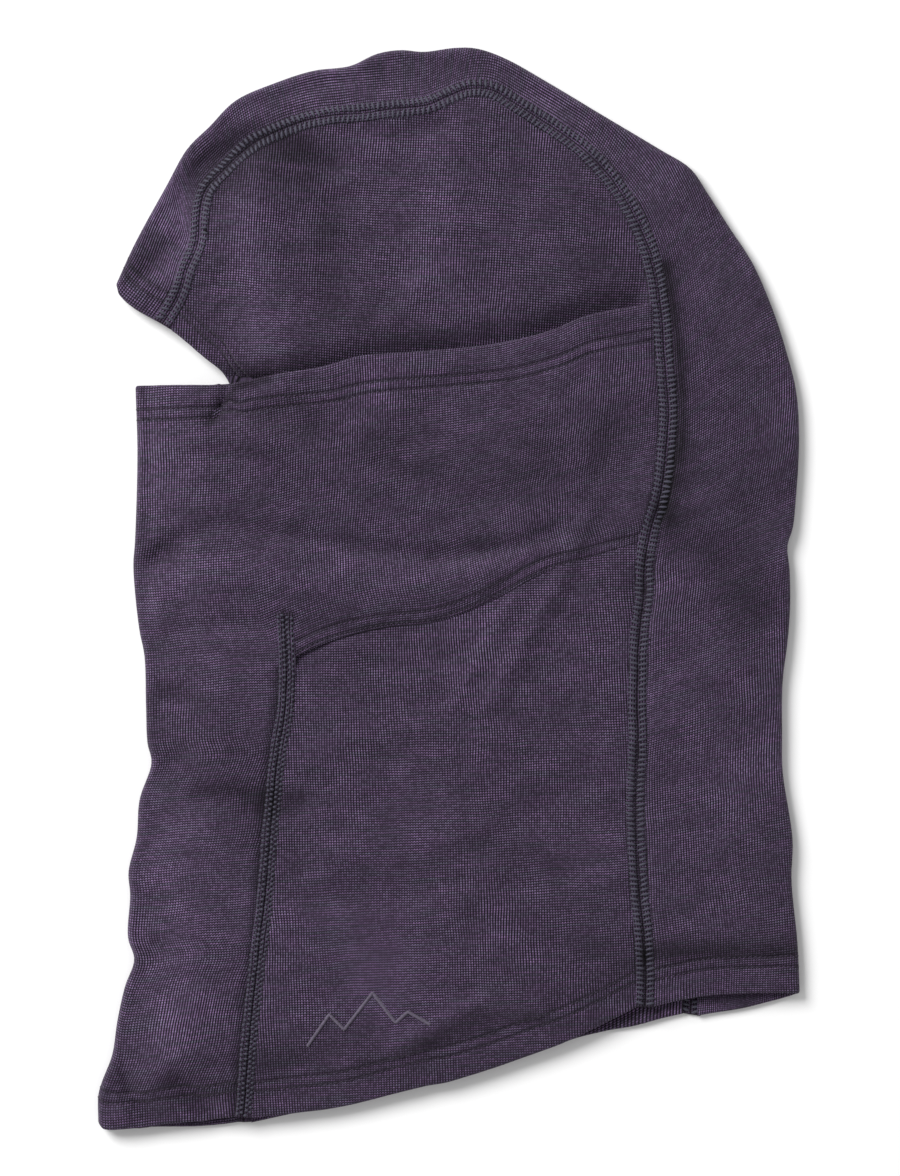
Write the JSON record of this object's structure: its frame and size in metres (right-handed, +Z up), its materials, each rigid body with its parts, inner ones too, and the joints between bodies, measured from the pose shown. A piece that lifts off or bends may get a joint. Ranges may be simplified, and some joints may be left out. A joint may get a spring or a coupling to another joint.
{
  "type": "balaclava",
  "caption": "Thin knitted hood and neck tube with a hinged face mask that pulls down below the chin, folded flat on its side.",
  "frame": {"origin": "on the table, under the middle of the flat garment's bounding box", "axes": "+Y from the neck hem to the crown, +Z up from the table, -X the way the face looks"},
  "size_m": [0.2606, 0.3998, 0.0149],
  "materials": {
    "knit": "fine dark purple heather jersey, matt, slightly fuzzy",
    "seam_thread": "dark blue-grey spun thread",
    "motif_thread": "tone-on-tone satin-stitch embroidery",
    "label_satin": "blank white satin ribbon"
  },
  "bodies": {
    "hood": {"crown_strip": "knit", "front_throat_panel": "knit", "left_hood_panel": "knit", "right_hood_panel": "knit", "left_neck_panel": "knit", "right_neck_panel": "knit", "mask_slack_cloth": "knit", "left_crown_flatlock": "seam_thread", "right_crown_flatlock": "seam_thread", "left_throat_flatlock": "seam_thread", "right_throat_flatlock": "seam_thread", "left_chin_stitching": "seam_thread", "right_chin_stitching": "seam_thread", "face_edge_stitching": "seam_thread", "neck_hem_stitching": "seam_thread", "embroidered_motif": "motif_thread", "care_label": "label_satin"},
    "mask": {"mask_rim": "knit", "mask_edge_stitching": "seam_thread"}
  },
  "joints": [
    {"name": "mask_pull_down", "type": "hinge", "parent": "hood", "child": "mask", "pos_m": [0.0748, 0.1043, 0.0075], "axis": [0, 0, 1], "range_deg": [0, 28], "deforming": ["mask_slack_cloth"]}
  ]
}
